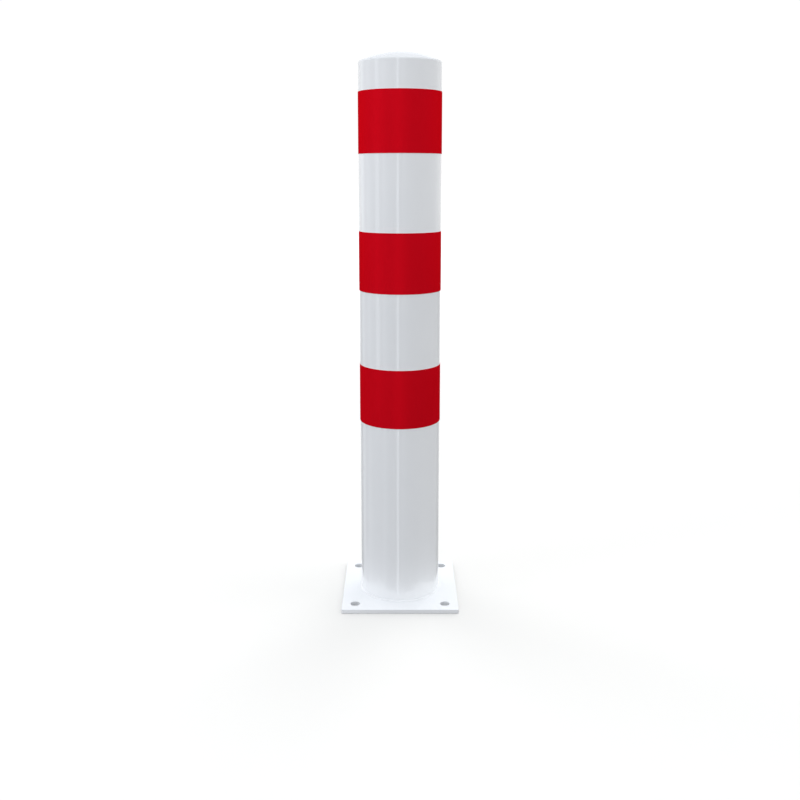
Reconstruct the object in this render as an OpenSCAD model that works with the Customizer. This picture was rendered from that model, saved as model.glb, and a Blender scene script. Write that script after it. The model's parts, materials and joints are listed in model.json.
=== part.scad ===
// Surface-mounted steel safety bollard: a round post welded to a square base plate,
// closed by a domed cap and marked with three red reflective bands.
// Millimetres, +Z up, origin at the centre of the base plate's underside.

/* [Post] */
// Outer diameter of the post tube
post_d = 152; // [120:1:184]
// Straight height of the post above the base plate, up to where the cap starts to curve
post_h = 1000; // [750:10:1300]
// Wall of the post tube
post_wall = 3; // [2.5:0.5:6]

/* [Base plate] */
// Side of the square base plate
plate_side = 220; // [215:1:320]
// Thickness of the base plate
plate_t = 8; // [5:1:20]
// Radius of the plate's four upright corners
plate_corner_r = 2; // [1:0.5:15]
// Broken edge round the plate's top and underside
plate_bevel = 0.8; // [0.3:0.1:2]
// Diameter of the four anchor holes
anchor_hole_d = 18; // [12:1:24]
// From the plate's edge to the centre of an anchor hole
anchor_hole_edge = 25; // [18:1:32]
// Diameter of the vent and drain hole under the post
vent_hole_d = 30; // [10:1:60]

/* [Top cap] */
// Wall of the pressed cap
cap_wall = 3; // [2:0.5:3.5]
// Outer radius of the cap's crown
cap_crown_r = 170; // [110:1:400]
// Outer radius of the curve between the cap's rim and its crown
cap_knuckle_r = 4; // [3.5:0.1:12]
// Straight rim of the cap below that curve
cap_rim_h = 3; // [2.5:0.5:20]

/* [Welds] */
// Leg of the fillet weld round the foot of the post
foot_weld_leg = 3; // [2:0.5:8]
// Half the width of the ground weld between post and cap
cap_weld_half = 2; // [1:0.5:2]
// Depth of that weld's groove
cap_weld_depth = 1.8; // [1:0.1:2.2]

/* [Red bands] */
// Width of each red band
band_w = 110; // [40:5:200]
// Thickness of the reflective sheet
band_t = 0.6; // [0.2:0.1:1.5]
// From the top of the straight post down to the first band
band_drop = 50; // [10:5:100]
// From the top of one band to the top of the next
band_pitch = 250; // [210:5:290]
// Length of sheet that lies over the band's own start, at the back
band_lap = 15; // [5:1:40]

/* [Hidden] */
$fn = 96;

post_r = post_d / 2;
post_bore_r = post_r - post_wall;
plate_half = plate_side / 2;
hole_offset = plate_half - anchor_hole_edge;

// The cap curves from post_top, and its rim meets the tube at joint_z.
post_top = plate_t + post_h;
joint_z = post_top - cap_rim_h;
knuckle_x = post_r - cap_knuckle_r;
crown_rise = sqrt(pow(cap_crown_r - cap_knuckle_r, 2) - pow(knuckle_x, 2));
crown_centre_z = post_top - crown_rise;

// A cut runs this far past the faces that it opens.
cut = 1;

powder_white = [0.93, 0.94, 0.95];
sheet_red = [0.76, 0.03, 0.09];

// Square of the given side with its four edges cut back, standing on the plate's side
module bevelled_side() {
    inner = plate_half - plate_bevel;
    polygon([
        [-inner, 0], [inner, 0], [plate_half, plate_bevel], [plate_half, plate_t - plate_bevel],
        [inner, plate_t], [-inner, plate_t], [-plate_half, plate_t - plate_bevel], [-plate_half, plate_bevel]
    ]);
}

// Plan of the plate: a square with round corners, made of two bars and four discs
module plate_outline() {
    flat = plate_side - 2 * plate_corner_r;
    square([plate_side, flat], center = true);
    square([flat, plate_side], center = true);
    for (x = [-1, 1], y = [-1, 1])
        translate([x * flat / 2, y * flat / 2]) circle(r = plate_corner_r);
}

module base_plate() {
    color(powder_white)
    difference() {
        intersection() {
            linear_extrude(height = plate_t) plate_outline();
            rotate([90, 0, 0]) linear_extrude(height = plate_side, center = true) bevelled_side();
            rotate([90, 0, 90]) linear_extrude(height = plate_side, center = true) bevelled_side();
        }
        for (x = [-1, 1], y = [-1, 1])
            translate([x * hole_offset, y * hole_offset, -cut])
                cylinder(h = plate_t + 2 * cut, d = anchor_hole_d);
        translate([0, 0, -cut]) cylinder(h = plate_t + 2 * cut, d = vent_hole_d);
    }
}

// Half section of the weld that joins the cap to the tube, ground flush with both
module cap_weld_section() {
    polygon([
        [post_r - cap_weld_depth, joint_z],
        [post_r, joint_z - cap_weld_half],
        [post_r, joint_z + cap_weld_half]
    ]);
}

module post_tube() {
    color(powder_white)
    rotate_extrude()
    difference() {
        translate([post_bore_r, plate_t]) square([post_wall, joint_z - plate_t]);
        cap_weld_section();
    }
}

module foot_weld() {
    color(powder_white)
    rotate_extrude()
    polygon([
        [post_r, plate_t],
        [post_r + foot_weld_leg, plate_t],
        [post_r, plate_t + foot_weld_leg]
    ]);
}

// Half section of the cap's outside, or of its inside when inset is the wall.
// The crown is the slice of a large circle that meets the knuckle's circle at a tangent.
module cap_section(inset, below) {
    translate([0, joint_z - below]) square([post_r - inset, cap_rim_h + below]);
    intersection() {
        union() {
            translate([knuckle_x, post_top]) circle(r = cap_knuckle_r - inset);
            intersection() {
                translate([0, crown_centre_z]) circle(r = cap_crown_r - inset);
                polygon([
                    [0, post_top], [knuckle_x, post_top],
                    [2 * knuckle_x, post_top + crown_rise], [0, post_top + crown_rise]
                ]);
            }
        }
        translate([0, post_top]) square([post_r, crown_rise]);
    }
}

module top_cap() {
    color(powder_white)
    rotate_extrude()
    difference() {
        cap_section(0, 0);
        cap_section(cap_wall, cut);
        cap_weld_section();
    }
}

module cap_weld() {
    color(powder_white)
    rotate_extrude() cap_weld_section();
}

// One strip of sheet round the post, whose tail lies over its own start
module red_band(index) {
    lap_angle = band_lap / (post_r + band_t) * 180 / PI;
    reach = 2 * post_r;
    bottom = post_top - band_drop - index * band_pitch - band_w;
    color(sheet_red)
    translate([0, 0, bottom])
    linear_extrude(height = band_w)
    difference() {
        union() {
            circle(r = post_r + band_t);
            intersection() {
                circle(r = post_r + 2 * band_t);
                polygon([
                    [0, 0],
                    [reach * sin(lap_angle / 2), reach * cos(lap_angle / 2)],
                    [-reach * sin(lap_angle / 2), reach * cos(lap_angle / 2)]
                ]);
            }
        }
        circle(r = post_r);
    }
}

module red_band_top() { red_band(0); }
module red_band_middle() { red_band(1); }
module red_band_bottom() { red_band(2); }

base_plate();
post_tube();
foot_weld();
top_cap();
cap_weld();
red_band_top();
red_band_middle();
red_band_bottom();
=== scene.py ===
"""Steel safety bollard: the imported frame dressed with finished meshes, finishes, lights and a camera.

Lengths are in metres. A size that the frame doesn't hold is a named value in millimetres times MM.
"""
import json
import math

import bmesh
import bpy
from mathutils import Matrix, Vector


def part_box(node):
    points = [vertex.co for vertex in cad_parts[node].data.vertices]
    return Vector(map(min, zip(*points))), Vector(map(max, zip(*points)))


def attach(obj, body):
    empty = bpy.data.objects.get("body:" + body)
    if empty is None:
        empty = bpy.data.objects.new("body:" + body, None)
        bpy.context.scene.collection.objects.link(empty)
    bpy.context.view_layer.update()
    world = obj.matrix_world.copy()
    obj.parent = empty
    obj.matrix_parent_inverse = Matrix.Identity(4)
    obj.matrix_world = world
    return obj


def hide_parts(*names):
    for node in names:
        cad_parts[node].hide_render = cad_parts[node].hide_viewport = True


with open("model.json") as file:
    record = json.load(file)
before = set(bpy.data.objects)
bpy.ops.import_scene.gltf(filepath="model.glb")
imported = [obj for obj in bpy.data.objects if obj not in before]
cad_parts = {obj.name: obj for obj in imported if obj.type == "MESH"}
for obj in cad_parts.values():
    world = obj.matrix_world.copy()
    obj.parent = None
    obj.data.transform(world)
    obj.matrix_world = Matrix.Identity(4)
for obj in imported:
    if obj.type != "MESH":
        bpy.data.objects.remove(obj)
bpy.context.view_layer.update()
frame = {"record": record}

MM = 0.001
TURN = 2 * math.pi

# ---------------------------------------------------------------- sizes

plate_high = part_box("base_plate")[1]
tube_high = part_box("post_tube")[1]
cap_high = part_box("top_cap")[1]
seam_low, seam_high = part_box("cap_weld")
foot_low, foot_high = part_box("foot_weld")
mounts = {m["name"]: m for m in frame["record"]["mounts"]}
anchors = mounts["anchor_holes"]["dims"]

PLATE_HALF = plate_high.x
PLATE_TOP = plate_high.z
POST_R = tube_high.x
JOINT_Z = tube_high.z
APEX_Z = cap_high.z
ANCHOR_OFFSET = anchors["spacing_x_mm"] / 2 * MM
ANCHOR_R = anchors["hole_r_mm"] * MM

PLATE_CORNER_R = 2 * MM
PLATE_EDGE_R = 0.8 * MM
HOLE_EDGE_R = 0.5 * MM
VENT_R = 15 * MM
WALL = 3 * MM
CAP_RIM_H = 3 * MM
CAP_KNUCKLE_R = 4 * MM
CAP_WELD_DEPTH = 1.8 * MM
SHEET_T = 0.6 * MM
SHEET_LAP = 15 * MM

# Flat steps in a full turn of the post, a full turn of a hole, and a quarter turn of a small edge
ROUND_STEPS = 192
HOLE_STEPS = 48
EDGE_STEPS = 4


# ---------------------------------------------------------------- finishes

def srgb(code):
    """An sRGB hex colour such as "#d00819" as linear red, green, blue and alpha."""
    channels = [int(code[i:i + 2], 16) / 255 for i in (1, 3, 5)]
    linear = [c / 12.92 if c <= 0.04045 else ((c + 0.055) / 1.055) ** 2.4 for c in channels]
    return (*linear, 1.0)


def add_node(tree, kind, settings=None, **inputs):
    """Adds a node, sets its properties, and fills or links its sockets. A socket is given by its name,
    with _ for a space, or by _ and its number where several share a name."""
    node = tree.nodes.new(kind)
    for name, value in (settings or {}).items():
        setattr(node, name, value)
    for name, value in inputs.items():
        socket = node.inputs[int(name[1:])] if name[0] == "_" else node.inputs[name.replace("_", " ")]
        if isinstance(value, bpy.types.NodeSocket):
            tree.links.new(value, socket)
        else:
            socket.default_value = value
    return node


def new_material(name):
    """An empty node material and its output node."""
    material = bpy.data.materials.new(name)
    material.use_nodes = True
    material.node_tree.nodes.clear()
    return material, material.node_tree, material.node_tree.nodes.new("ShaderNodeOutputMaterial")


def per_mm(millimetres):
    """The texture scale that repeats once in that many millimetres, for coordinates in metres."""
    return 1 / (millimetres * MM)


def powder_coat():
    """Glossy white polyester powder coat, sprayed and baked on steel.
    The film flows into a fine orange peel, so reflections are clear with a slightly uneven edge."""
    material, tree, output = new_material("powder_coat_white")
    place = add_node(tree, "ShaderNodeTexCoord").outputs["Object"]
    peel = add_node(tree, "ShaderNodeTexNoise", Vector=place, Scale=per_mm(2.4), Detail=1.5, Roughness=0.45)
    sag = add_node(tree, "ShaderNodeTexNoise", Vector=place, Scale=per_mm(17), Detail=1.0, Roughness=0.4)
    cloud = add_node(tree, "ShaderNodeTexNoise", Vector=place, Scale=per_mm(90), Detail=3.0, Roughness=0.55)
    tint = add_node(tree, "ShaderNodeMix", {"data_type": "RGBA"}, _0=cloud.outputs["Fac"],
                    _6=srgb("#e9ebee"), _7=srgb("#eff1f3"))
    gloss = add_node(tree, "ShaderNodeMapRange", Value=cloud.outputs["Fac"], From_Min=0.3, From_Max=0.7,
                     To_Min=0.09, To_Max=0.13)
    waves = add_node(tree, "ShaderNodeBump", Strength=1.0, Distance=0.02 * MM, Height=sag.outputs["Fac"])
    bumps = add_node(tree, "ShaderNodeBump", Strength=1.0, Distance=0.008 * MM, Height=peel.outputs["Fac"],
                     Normal=waves.outputs["Normal"])
    shader = add_node(tree, "ShaderNodeBsdfPrincipled", Base_Color=tint.outputs[2],
                      Roughness=gloss.outputs["Result"], IOR=1.5, Normal=bumps.outputs["Normal"])
    tree.links.new(shader.outputs[0], output.inputs["Surface"])
    return material


def mill_scale():
    """Bare hot-rolled steel inside the closed post: dull blue-grey scale with rust blooming through it."""
    material, tree, output = new_material("steel_mill_scale")
    place = add_node(tree, "ShaderNodeTexCoord").outputs["Object"]
    scale = add_node(tree, "ShaderNodeTexNoise", Vector=place, Scale=per_mm(6), Detail=5.0, Roughness=0.6)
    bloom = add_node(tree, "ShaderNodeTexNoise", Vector=place, Scale=per_mm(30), Detail=4.0, Roughness=0.65)
    rust = add_node(tree, "ShaderNodeMapRange", Value=bloom.outputs["Fac"], From_Min=0.52, From_Max=0.68)
    tint = add_node(tree, "ShaderNodeMix", {"data_type": "RGBA"}, _0=rust.outputs["Result"],
                    _6=srgb("#4a4d52"), _7=srgb("#6b4630"))
    bumps = add_node(tree, "ShaderNodeBump", Strength=1.0, Distance=0.05 * MM, Height=scale.outputs["Fac"])
    shader = add_node(tree, "ShaderNodeBsdfPrincipled", Base_Color=tint.outputs[2], Metallic=0.35,
                      Roughness=0.62, Normal=bumps.outputs["Normal"])
    tree.links.new(shader.outputs[0], output.inputs["Surface"])
    return material


def reflective_sheet():
    """Red retroreflective sheeting: a satin acrylic face over sealed cells.
    Deep even red with hardly any gloss, and close to, the faint honeycomb of the cell walls."""
    material, tree, output = new_material("reflective_sheet_red")
    place = add_node(tree, "ShaderNodeTexCoord").outputs["Object"]
    parts = add_node(tree, "ShaderNodeSeparateXYZ", Vector=place)
    turn = add_node(tree, "ShaderNodeMath", {"operation": "ARCTAN2"}, _0=parts.outputs["Y"],
                    _1=parts.outputs["X"])
    along = add_node(tree, "ShaderNodeMath", {"operation": "MULTIPLY"}, _0=turn.outputs[0], _1=POST_R)
    flat = add_node(tree, "ShaderNodeCombineXYZ", X=along.outputs[0], Y=parts.outputs["Z"])
    cells = add_node(tree, "ShaderNodeVectorMath", {"operation": "SCALE"}, Vector=flat.outputs[0],
                     Scale=per_mm(3.2))
    # Two lattices of cell centres, offset by half a step, make a honeycomb: the nearer centre counts.
    # A cell is 1 wide here, and its wall rises just inside its side at 0.5.
    half = (0.5, math.sqrt(3) / 2, 0.5)
    side_direction = (0.5, math.sqrt(3) / 2, 0.0)
    wall_foot = 0.44
    wall_crest = 0.49
    reach = []
    for shift in ((0.0, 0.0, 0.0), half):
        moved = add_node(tree, "ShaderNodeVectorMath", {"operation": "ADD"}, _0=cells.outputs[0], _1=shift)
        wrapped = add_node(tree, "ShaderNodeVectorMath", {"operation": "WRAP"}, _0=moved.outputs[0],
                           _1=half, _2=tuple(-h for h in half))
        size = add_node(tree, "ShaderNodeVectorMath", {"operation": "ABSOLUTE"}, _0=wrapped.outputs[0])
        slant = add_node(tree, "ShaderNodeVectorMath", {"operation": "DOT_PRODUCT"}, _0=size.outputs[0],
                         _1=side_direction)
        sides = add_node(tree, "ShaderNodeSeparateXYZ", Vector=size.outputs[0])
        reach.append(add_node(tree, "ShaderNodeMath", {"operation": "MAXIMUM"}, _0=slant.outputs["Value"],
                              _1=sides.outputs["X"]).outputs[0])
    nearest = add_node(tree, "ShaderNodeMath", {"operation": "MINIMUM"}, _0=reach[0], _1=reach[1])
    walls = add_node(tree, "ShaderNodeMapRange", {"interpolation_type": "SMOOTHSTEP"},
                     Value=nearest.outputs[0], From_Min=wall_foot, From_Max=wall_crest)
    grain = add_node(tree, "ShaderNodeTexNoise", Vector=place, Scale=per_mm(0.9), Detail=2.0, Roughness=0.5)
    cloud = add_node(tree, "ShaderNodeTexNoise", Vector=place, Scale=per_mm(60), Detail=2.0, Roughness=0.5)
    face = add_node(tree, "ShaderNodeMix", {"data_type": "RGBA"}, _0=cloud.outputs["Fac"],
                    _6=srgb("#cd0617"), _7=srgb("#d20719"))
    tint = add_node(tree, "ShaderNodeMix", {"data_type": "RGBA"}, _0=walls.outputs["Result"],
                    _6=face.outputs[2], _7=srgb("#d81a2b"))
    gloss = add_node(tree, "ShaderNodeMapRange", Value=grain.outputs["Fac"], From_Min=0.3, From_Max=0.7,
                     To_Min=0.36, To_Max=0.46)
    quilting = add_node(tree, "ShaderNodeBump", Strength=1.0, Distance=0.03 * MM,
                        Height=walls.outputs["Result"])
    bumps = add_node(tree, "ShaderNodeBump", Strength=1.0, Distance=0.01 * MM, Height=grain.outputs["Fac"],
                     Normal=quilting.outputs["Normal"])
    shader = add_node(tree, "ShaderNodeBsdfPrincipled", Base_Color=tint.outputs[2],
                      Metallic=0.3, Roughness=gloss.outputs["Result"], IOR=1.49, Specular_IOR_Level=0.0,
                      Specular_Tint=srgb("#c80617"), Normal=bumps.outputs["Normal"])
    tree.links.new(shader.outputs[0], output.inputs["Surface"])
    return material


def sheet_edge():
    """The cut edge of the sheeting: its pale grey core shows as a hairline round each band."""
    material, tree, output = new_material("sheet_cut_edge")
    place = add_node(tree, "ShaderNodeTexCoord").outputs["Object"]
    fray = add_node(tree, "ShaderNodeTexNoise", Vector=place, Scale=per_mm(1.5), Detail=3.0, Roughness=0.6)
    tint = add_node(tree, "ShaderNodeMix", {"data_type": "RGBA"}, _0=fray.outputs["Fac"],
                    _6=srgb("#b9878c"), _7=srgb("#cbb4b6"))
    bumps = add_node(tree, "ShaderNodeBump", Strength=1.0, Distance=0.03 * MM, Height=fray.outputs["Fac"])
    shader = add_node(tree, "ShaderNodeBsdfPrincipled", Base_Color=tint.outputs[2], Roughness=0.5,
                      Normal=bumps.outputs["Normal"])
    tree.links.new(shader.outputs[0], output.inputs["Surface"])
    return material


def studio_floor():
    """Matt white studio floor, a little whiter far off, so that it meets the white wall without a line."""
    material, tree, output = new_material("studio_floor")
    place = add_node(tree, "ShaderNodeTexCoord").outputs["Object"]
    cloud = add_node(tree, "ShaderNodeTexNoise", Vector=place, Scale=per_mm(400), Detail=2.0)
    near = add_node(tree, "ShaderNodeMix", {"data_type": "RGBA"}, _0=cloud.outputs["Fac"],
                    _6=srgb("#e6e5e2"), _7=srgb("#e7e6e3"))
    reach = add_node(tree, "ShaderNodeVectorMath", {"operation": "LENGTH"}, _0=place)
    far = add_node(tree, "ShaderNodeMapRange", {"interpolation_type": "SMOOTHSTEP"},
                   Value=reach.outputs["Value"], From_Min=1.0, From_Max=5.0)
    tint = add_node(tree, "ShaderNodeMix", {"data_type": "RGBA"}, _0=far.outputs["Result"],
                    _6=near.outputs[2], _7=srgb("#fdfcfc"))
    shader = add_node(tree, "ShaderNodeBsdfPrincipled", Base_Color=tint.outputs[2], Roughness=0.9,
                      Specular_IOR_Level=0.0)
    tree.links.new(shader.outputs[0], output.inputs["Surface"])
    return material


COAT = powder_coat()
BARE = mill_scale()
SHEET = reflective_sheet()
EDGE = sheet_edge()


# ---------------------------------------------------------------- meshes

def finish_piece(name, bm, node, materials, smooth_angle=35):
    """Turns a bmesh into a piece that stands for one CAD node and rides with it."""
    bmesh.ops.recalc_face_normals(bm, faces=bm.faces)
    mesh = bpy.data.meshes.new(name)
    bm.to_mesh(mesh)
    bm.free()
    for face in mesh.polygons:
        face.use_smooth = True
    mesh.set_sharp_from_angle(angle=math.radians(smooth_angle))
    piece = bpy.data.objects.new(name, mesh)
    bpy.context.scene.collection.objects.link(piece)
    for material in materials:
        mesh.materials.append(material)
    weighted = piece.modifiers.new("flat_faces_stay_flat", "WEIGHTED_NORMAL")
    weighted.keep_sharp = True
    weighted.weight = 80
    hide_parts(node)
    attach(piece, "root")


def arc(centre_r, centre_z, radius, start, end, steps):
    """Points of an arc in a half section, from angle start to end in degrees; 0 points outward, 90 up."""
    angles = [math.radians(start + (end - start) * i / steps) for i in range(steps + 1)]
    return [(centre_r + radius * math.cos(a), centre_z + radius * math.sin(a)) for a in angles]


def straight(start, end, steps):
    """Evenly spaced points from start up to, and without, end."""
    return [tuple(s + (e - s) * i / steps for s, e in zip(start, end)) for i in range(steps)]


def lathe(bm, profile, closed, inner_from=None):
    """Turns (radius, height) points about the Z axis. A point of radius 0 becomes one vertex.
    Faces from the profile's point number inner_from on take the second material."""
    rings = []
    for radius, height in profile:
        steps = ROUND_STEPS if radius else 1
        rings.append([bm.verts.new((radius * math.cos(TURN * i / steps),
                                    radius * math.sin(TURN * i / steps), height)) for i in range(steps)])
    count = len(rings)
    for k in range(count if closed else count - 1):
        low, high = rings[k], rings[(k + 1) % count]
        for i in range(ROUND_STEPS):
            j = (i + 1) % ROUND_STEPS
            corners = [low[i % len(low)], low[j % len(low)], high[j % len(high)], high[i % len(high)]]
            face = bm.faces.new(list(dict.fromkeys(corners)))
            if inner_from is not None and k >= inner_from:
                face.material_index = 1


def outline(half, corner_r, inset):
    """Points of a square with round corners, drawn in by inset, anticlockwise."""
    middle = half - corner_r
    radius = corner_r - inset
    corner_steps = EDGE_STEPS * 2
    points = []
    for quarter, (x, y) in enumerate(((1, 1), (-1, 1), (-1, -1), (1, -1))):
        for i in range(corner_steps + 1):
            a = math.radians(90 * (quarter + i / corner_steps))
            points.append((x * middle + radius * math.cos(a), y * middle + radius * math.sin(a)))
    return points


def circle(x, y, radius):
    """Points of a round hole's edge."""
    return [(x + radius * math.cos(TURN * i / HOLE_STEPS), y + radius * math.sin(TURN * i / HOLE_STEPS))
            for i in range(HOLE_STEPS)]


def plate_walls(bm, ring_at, edge_r):
    """Skins one upright wall of the plate with rounded edges, and returns its lowest and highest ring.
    ring_at gives the wall's points for a distance drawn back from its face."""
    heights = []
    for i in range(EDGE_STEPS + 1):
        a = math.radians(90 * i / EDGE_STEPS)
        heights.append((edge_r * (1 - math.sin(a)), edge_r * (1 - math.cos(a))))
    levels = heights + [(back, PLATE_TOP - up) for back, up in reversed(heights)]
    rings = [[bm.verts.new((x, y, z)) for x, y in ring_at(back)] for back, z in levels]
    for low, high in zip(rings, rings[1:]):
        for i in range(len(low)):
            j = (i + 1) % len(low)
            bm.faces.new([low[i], low[j], high[j], high[i]])
    return rings[0], rings[-1]


def fill_between(bm, rings):
    """Fills the flat face that lies inside the first ring and outside the others."""
    edges = []
    for ring in rings:
        edges += [bm.edges.get((ring[i], ring[(i + 1) % len(ring)])) for i in range(len(ring))]
    bmesh.ops.triangle_fill(bm, use_beauty=True, use_dissolve=False, edges=edges)


def make_base_plate():
    """Square plate with broken edges, four anchor holes and the vent hole under the post."""
    bm = bmesh.new()
    walls = [plate_walls(bm, lambda back: outline(PLATE_HALF, PLATE_CORNER_R, back), PLATE_EDGE_R)]
    holes = [(x * ANCHOR_OFFSET, y * ANCHOR_OFFSET, ANCHOR_R) for x in (-1, 1) for y in (-1, 1)]
    for x, y, radius in [*holes, (0, 0, VENT_R)]:
        walls.append(plate_walls(bm, lambda back: circle(x, y, radius + back), HOLE_EDGE_R))
    fill_between(bm, [low for low, high in walls])
    fill_between(bm, [high for low, high in walls])
    finish_piece("base_plate_steel", bm, "base_plate", [COAT])


def make_post_tube():
    """Post tube with its bore, and the bevel at its top that the cap's weld fills."""
    bm = bmesh.new()
    height_steps = 40
    groove_low = seam_low.z
    profile = straight((POST_R, PLATE_TOP), (POST_R, groove_low), height_steps)
    profile += [(POST_R, groove_low), (POST_R - CAP_WELD_DEPTH, JOINT_Z)]
    inner = len(profile)
    profile += [(POST_R - WALL, JOINT_Z), (POST_R - WALL, PLATE_TOP)]
    lathe(bm, profile, closed=True, inner_from=inner)
    finish_piece("post_tube_steel", bm, "post_tube", [COAT, BARE])


def cap_arcs(inset):
    """Crown and knuckle of the cap from its top outward; inset is 0 outside and the wall inside."""
    crown_steps = 40
    knuckle_steps = 10
    post_top = JOINT_Z + CAP_RIM_H
    rise = APEX_Z - post_top
    knuckle_x = POST_R - CAP_KNUCKLE_R
    crown_r = (knuckle_x ** 2 + rise ** 2 - CAP_KNUCKLE_R ** 2) / (2 * (rise - CAP_KNUCKLE_R))
    crown_z = APEX_Z - crown_r
    meeting = math.degrees(math.atan2(post_top - crown_z, knuckle_x))
    crown = arc(0, crown_z, crown_r - inset, 90, meeting, crown_steps)
    crown[0] = (0.0, crown[0][1])
    return crown + arc(knuckle_x, post_top, CAP_KNUCKLE_R - inset, meeting, 0, knuckle_steps)[1:]


def make_top_cap():
    """Pressed domed cap: crown, tight knuckle and a short straight rim."""
    bm = bmesh.new()
    profile = cap_arcs(0) + [(POST_R, seam_high.z), (POST_R - CAP_WELD_DEPTH, JOINT_Z)]
    inner = len(profile)
    profile += [(POST_R - WALL, JOINT_Z)] + list(reversed(cap_arcs(WALL)))
    lathe(bm, profile, closed=False, inner_from=inner)
    finish_piece("top_cap_steel", bm, "top_cap", [COAT, BARE])


def make_cap_weld():
    """Weld between cap and tube, ground flush with both."""
    bm = bmesh.new()
    profile = [(POST_R, seam_low.z), (POST_R, seam_high.z), (POST_R - CAP_WELD_DEPTH, JOINT_Z)]
    lathe(bm, profile, closed=True)
    finish_piece("cap_weld_ground", bm, "cap_weld", [COAT])


def make_foot_weld():
    """Small fillet weld round the foot: a convex bead with soft ripples under the paint."""
    leg = foot_high.z - foot_low.z
    ripple_pitch = 2.6 * MM
    ripple_depth = 0.10 * MM
    ripples = round(TURN * POST_R / ripple_pitch)
    ripple_steps = 6
    across = 8
    # Each leg is this share of the CAD fillet's, give or take two waves that run round the post.
    mean_size = 0.90
    slow_swell = 0.05
    slow_waves = 7
    slow_start = 1.3
    quick_swell = 0.03
    quick_waves = 19
    # The bead bulges between its two toes, and each ripple trails behind in the middle.
    bulge_share = 0.16
    trail = 1.6
    slant = math.sqrt(0.5)
    steps = ripples * ripple_steps
    bm = bmesh.new()
    rings = []
    for i in range(steps):
        turn = TURN * i / steps
        swell = mean_size + slow_swell * math.sin(slow_waves * turn + slow_start)
        swell += quick_swell * math.sin(quick_waves * turn)
        ring = [(0.0, 0.0)]
        for k in range(across + 1):
            part = k / across
            arch = math.sin(math.pi * part)
            phase = ripples * turn - trail * arch
            bulge = bulge_share * leg * arch + ripple_depth * abs(math.sin(phase / 2)) * arch
            out = swell * leg * (1 - part) + bulge * slant
            up = swell * leg * part + bulge * slant
            ring.append((out, up))
        rings.append([bm.verts.new(((POST_R + out) * math.cos(turn), (POST_R + out) * math.sin(turn),
                                    PLATE_TOP + up)) for out, up in ring])
    for i in range(steps):
        near, far = rings[i], rings[(i + 1) % steps]
        for k in range(len(near)):
            m = (k + 1) % len(near)
            bm.faces.new([near[k], near[m], far[m], far[k]])
    finish_piece("foot_weld_bead", bm, "foot_weld", [COAT], smooth_angle=60)


def make_band(node):
    """One strip of sheeting wound once round the post, its tail lying over its start at the back."""
    low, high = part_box(node)
    edge = 0.15 * MM
    climb_length = 5 * MM
    turn_steps = 240
    lap_steps = 10
    lap_turn = SHEET_LAP / (POST_R + SHEET_T)
    climb_turn = climb_length / POST_R
    start = math.pi / 2 - lap_turn / 2
    turns = [TURN * i / turn_steps for i in range(turn_steps)]
    turns += [TURN + lap_turn * i / lap_steps for i in range(lap_steps + 1)]
    bm = bmesh.new()
    rings = []
    for turn in turns:
        climb = min(max((turn - TURN + climb_turn) / climb_turn, 0.0), 1.0)
        inner = POST_R + SHEET_T * climb * climb * (3 - 2 * climb)
        outer = inner + SHEET_T
        section = [(inner, low.z), (outer - edge, low.z), (outer, low.z + edge)]
        section += [(outer, high.z - edge), (outer - edge, high.z), (inner, high.z)]
        rings.append([bm.verts.new((r * math.cos(start + turn), r * math.sin(start + turn), z))
                      for r, z in section])
    # Sides 0 and 4 of the strip's section are its lower and upper cut edges.
    cut_sides = (0, 4)
    for near, far in zip(rings, rings[1:]):
        for k in range(len(near)):
            m = (k + 1) % len(near)
            face = bm.faces.new([near[k], near[m], far[m], far[k]])
            face.material_index = 1 if k in cut_sides else 0
    for ring in (rings[0], rings[-1]):
        bm.faces.new(ring).material_index = 1
    finish_piece(node + "_sheet", bm, node, [SHEET, EDGE])


make_base_plate()
make_post_tube()
make_foot_weld()
make_top_cap()
make_cap_weld()
for band in ("red_band_top", "red_band_middle", "red_band_bottom"):
    make_band(band)


# ---------------------------------------------------------------- stage, light and camera

# The slightly cool white of the studio's lamps
LAMP_COLOUR = "#f4f8ff"


def make_floor():
    """A wide white floor. It takes the bollard's shadow and gives nothing back to it."""
    floor_steps = 64
    floor_r = 60
    bm = bmesh.new()
    bmesh.ops.create_circle(bm, cap_ends=True, segments=floor_steps, radius=floor_r)
    mesh = bpy.data.meshes.new("floor")
    bm.to_mesh(mesh)
    bm.free()
    floor = bpy.data.objects.new("floor", mesh)
    bpy.context.scene.collection.objects.link(floor)
    mesh.materials.append(studio_floor())
    floor.visible_diffuse = False
    floor.visible_glossy = False
    floor.visible_shadow = False


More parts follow.
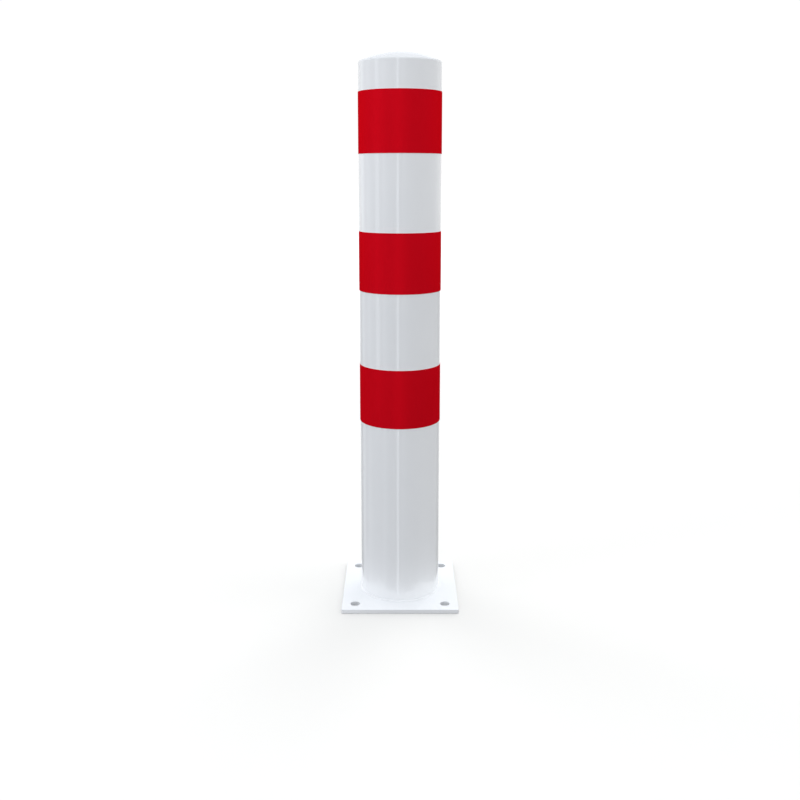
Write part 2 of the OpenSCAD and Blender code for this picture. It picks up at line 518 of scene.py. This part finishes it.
def make_sky():
    """The studio round the bollard: white round the horizon, darker above and below, and a white wall
    behind, a little cooler high up. It reaches down past the floor, so that the paint's edges stay
    bright."""
    # Where the wall fades in, as the Y of a direction, and where it turns cooler, as the Z of one
    wall_fade = (0.78, 0.95)
    high_fade = (0.20, 0.42)
    brightness = 1.02
    world = bpy.data.worlds.new("studio")
    bpy.context.scene.world = world
    world.use_nodes = True
    tree = world.node_tree
    tree.nodes.clear()
    place = add_node(tree, "ShaderNodeTexCoord").outputs["Generated"]
    parts = add_node(tree, "ShaderNodeSeparateXYZ", Vector=place)
    height = add_node(tree, "ShaderNodeMapRange", Value=parts.outputs["Z"], From_Min=-1.0, From_Max=1.0)
    shade = add_node(tree, "ShaderNodeValToRGB", _0=height.outputs["Result"])
    stops = [(0.28, "#141414"), (0.33, "#7c7c7c"), (0.44, "#7c7c7c"), (0.48, "#ffffff"), (0.60, "#ffffff"),
             (0.70, "#a9aaac"), (0.80, "#a9aaac"), (0.90, "#6e6f70")]
    elements = shade.color_ramp.elements
    while len(elements) < len(stops):
        elements.new(0.5)
    for element, (position, colour) in zip(elements, stops):
        element.position = position
        element.color = srgb(colour)
    behind = add_node(tree, "ShaderNodeMapRange", {"interpolation_type": "SMOOTHSTEP"},
                      Value=parts.outputs["Y"], From_Min=wall_fade[0], From_Max=wall_fade[1])
    above = add_node(tree, "ShaderNodeMapRange", {"interpolation_type": "SMOOTHSTEP"},
                     Value=parts.outputs["Z"], From_Min=high_fade[0], From_Max=high_fade[1])
    back = add_node(tree, "ShaderNodeMix", {"data_type": "RGBA"}, _0=above.outputs["Result"],
                    _6=srgb("#ffffff"), _7=srgb("#f2f6fc"))
    wall = add_node(tree, "ShaderNodeMix", {"data_type": "RGBA"}, _0=behind.outputs["Result"],
                    _6=shade.outputs["Color"], _7=back.outputs[2])
    sky = add_node(tree, "ShaderNodeBackground", Color=wall.outputs[2], Strength=brightness)
    output = tree.nodes.new("ShaderNodeOutputWorld")
    tree.links.new(sky.outputs[0], output.inputs["Surface"])


def add_light(name, kind, colour):
    """A light and its object, linked to the scene."""
    data = bpy.data.lights.new(name, kind)
    data.color = srgb(colour)[:3]
    light = bpy.data.objects.new(name, data)
    bpy.context.scene.collection.objects.link(light)
    return data, light


def add_sun(name, azimuth, elevation, strength, spread, colour="#ffffff"):
    """A soft sun that the paint doesn't mirror. Azimuth is the side it stands on: 0 is behind the
    camera, 90 on its right."""
    data, sun = add_light(name, "SUN", colour)
    data.energy = strength * math.pi
    data.angle = math.radians(spread)
    sun.rotation_euler = (math.radians(90 - elevation), 0, math.radians(azimuth))
    sun.visible_glossy = False


def add_strip(name, azimuth, width, strength, bottom=-9, top=9, colour=LAMP_COLOUR, distance=12.0):
    """A tall strip light that shows as an upright streak in the paint. Width is in degrees. It runs on
    below the floor, which the paint doesn't mirror, so that the streak reaches the post's foot."""
    data, strip = add_light(name, "AREA", colour)
    data.shape = "RECTANGLE"
    data.size = 2 * distance * math.tan(math.radians(width / 2))
    data.size_y = top - bottom
    data.energy = strength * math.pi * data.size * data.size_y
    turn = math.radians(azimuth)
    strip.location = (distance * math.sin(turn), -distance * math.cos(turn), (bottom + top) / 2)
    strip.rotation_euler = (math.pi / 2, 0, turn)
    return data, strip


def add_soft_box(name, azimuth, width, bottom, top, strength, distance):
    """A box close to the post's top, so that the light falls off down the post. It is too soft to show
    in the paint or to throw a shadow of its own."""
    data, box = add_strip(name, azimuth, width, strength, bottom, top, distance=distance)
    data.use_shadow = False
    box.visible_glossy = False


def make_camera():
    """Camera in front of the bollard, a little lower than its top, looking slightly down."""
    distance = 1.6925
    height = 0.8111
    looking_down = 10
    data = bpy.data.cameras.new("camera")
    data.sensor_width = 36
    data.lens = 40.78
    data.shift_y = -0.0822
    data.clip_end = 200
    camera = bpy.data.objects.new("camera", data)
    bpy.context.scene.collection.objects.link(camera)
    camera.location = (0, -distance, height)
    camera.rotation_euler = (math.radians(90 - looking_down), 0, 0)
    bpy.context.scene.camera = camera


make_floor()
make_sky()
add_sun("ceiling", azimuth=0, elevation=90, strength=0.63, spread=100, colour="#f8fbff")
add_sun("back_left", azimuth=-137, elevation=30, strength=0.16, spread=40)
add_sun("back_right", azimuth=152, elevation=30, strength=0.25, spread=40)
add_sun("right", azimuth=92, elevation=18, strength=0.20, spread=50)
add_strip("strip_rear_left", azimuth=-128, width=16, strength=0.6)
add_strip("strip_side_left", azimuth=-98, width=14, strength=0.35)
add_strip("strip_left", azimuth=-65.5, width=12, strength=1.3, bottom=-3, top=12)
add_strip("strip_half_left", azimuth=-45, width=6, strength=0.6)
add_strip("strip_front", azimuth=-6, width=5, strength=3.0)
add_strip("strip_front_right", azimuth=10, width=8, strength=0.4)
add_strip("strip_rear_right", azimuth=128, width=16, strength=0.15, colour="#ffffff")
add_soft_box("soft_box_left", azimuth=-45, width=30, bottom=1.1, top=2.1, strength=1.7, distance=1.8)
make_camera()
bpy.context.scene.view_settings.view_transform = "Standard"
